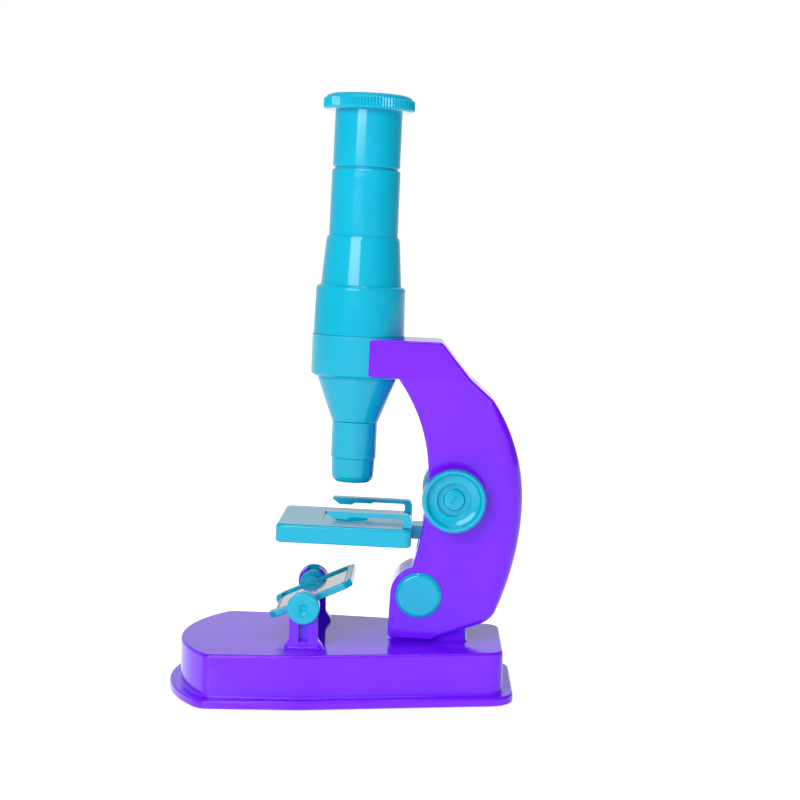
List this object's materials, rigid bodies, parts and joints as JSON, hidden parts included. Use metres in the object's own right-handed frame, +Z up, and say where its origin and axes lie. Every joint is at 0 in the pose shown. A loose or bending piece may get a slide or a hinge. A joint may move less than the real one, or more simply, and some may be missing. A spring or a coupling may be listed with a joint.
{
  "type": "toy microscope",
  "caption": "Upright toy light microscope: tilting C-shaped arm, draw-out eyepiece, rack-focused stage with swivelling clips and a tilting mirror on a bow-fronted base.",
  "frame": {"origin": "centre of the foot's underside, on the table", "axes": "+Z up, +X from the bowed front towards the back of the arm, -Y the near side"},
  "size_m": [0.1307, 0.0846, 0.2204],
  "materials": {
    "teal_abs": "glossy injection-moulded teal ABS",
    "purple_abs": "glossy injection-moulded violet ABS",
    "steel": "zinc-plated steel fasteners and shaft",
    "lens": "clear polished plastic lens",
    "silvering": "silvered mirror plate",
    "black_ps": "matt black spacer and retainer",
    "white_pom": "natural acetal pinion"
  },
  "bodies": {
    "base": {"base_shell": "purple_abs", "base_cover": "purple_abs", "cover_screws": "steel", "pillar": "purple_abs", "pillar_screws": "steel", "mirror_post_near": "purple_abs", "mirror_post_far": "purple_abs", "post_screws": "steel"},
    "arm": {"arm_near": "purple_abs", "arm_far": "purple_abs", "arm_screws": "steel", "pivot_bolt": "steel", "pivot_nut": "steel", "pivot_washers": "steel", "pivot_cap_near": "teal_abs", "pivot_cap_far": "teal_abs", "head_collar": "teal_abs", "body_tube": "teal_abs", "draw_tube": "teal_abs", "nose_cone": "teal_abs", "objective_barrel": "teal_abs", "objective_tip": "teal_abs", "objective_lens": "lens", "lens_retainer": "black_ps"},
    "eyepiece": {"eyepiece_barrel": "teal_abs", "eyepiece_cap": "teal_abs", "eye_lens": "lens", "field_lens": "lens", "eye_spacer": "black_ps"},
    "stage": {"stage_plate": "teal_abs", "stage_slider": "teal_abs", "stage_screws": "steel"},
    "clip_near": {"stage_clip_near": "teal_abs"},
    "clip_far": {"stage_clip_far": "teal_abs"},
    "focus": {"focus_shaft": "steel", "focus_pinion": "white_pom", "focus_knob_near": "teal_abs", "focus_knob_far": "teal_abs"},
    "mirror": {"mirror_frame": "teal_abs", "mirror_plate": "silvering", "mirror_pin_near": "teal_abs", "mirror_pin_far": "teal_abs"}
  },
  "joints": [
    {"name": "arm_tilt", "type": "hinge", "parent": "base", "child": "arm", "pos_m": [0.0288, 0, 0.0364], "axis": [0, 1, 0], "range_deg": [0, 19]},
    {"name": "eyepiece_draw", "type": "slide", "parent": "arm", "child": "eyepiece", "axis": [0.0279, 0, 0.9996], "range_m": [0, 0.01]},
    {"name": "focus_turn", "type": "hinge", "parent": "arm", "child": "focus", "pos_m": [0.04103, 0, 0.07327], "axis": [0, 1, 0], "range_deg": [-57.4, 114.8]},
    {"name": "stage_focus", "type": "slide", "parent": "arm", "child": "stage", "axis": [0.0279, 0, 0.9996], "range_m": [-0.004, 0.008]},
    {"name": "clip_near_swivel", "type": "hinge", "parent": "stage", "child": "clip_near", "pos_m": [0.02363, -0.0185, 0.06275], "axis": [0.0279, 0, 0.9996], "range_deg": [-20, 60]},
    {"name": "clip_far_swivel", "type": "hinge", "parent": "stage", "child": "clip_far", "pos_m": [0.02363, 0.0185, 0.06275], "axis": [0.0279, 0, 0.9996], "range_deg": [-60, 20]},
    {"name": "mirror_tilt", "type": "hinge", "parent": "base", "child": "mirror", "pos_m": [-0.0126, 0, 0.0342], "axis": [0, 1, 0], "range_deg": [-31, 78]}
  ],
  "couplings": [
    {"joint": "focus_turn", "follows": "stage_focus", "rad_per_m": 250}
  ]
}
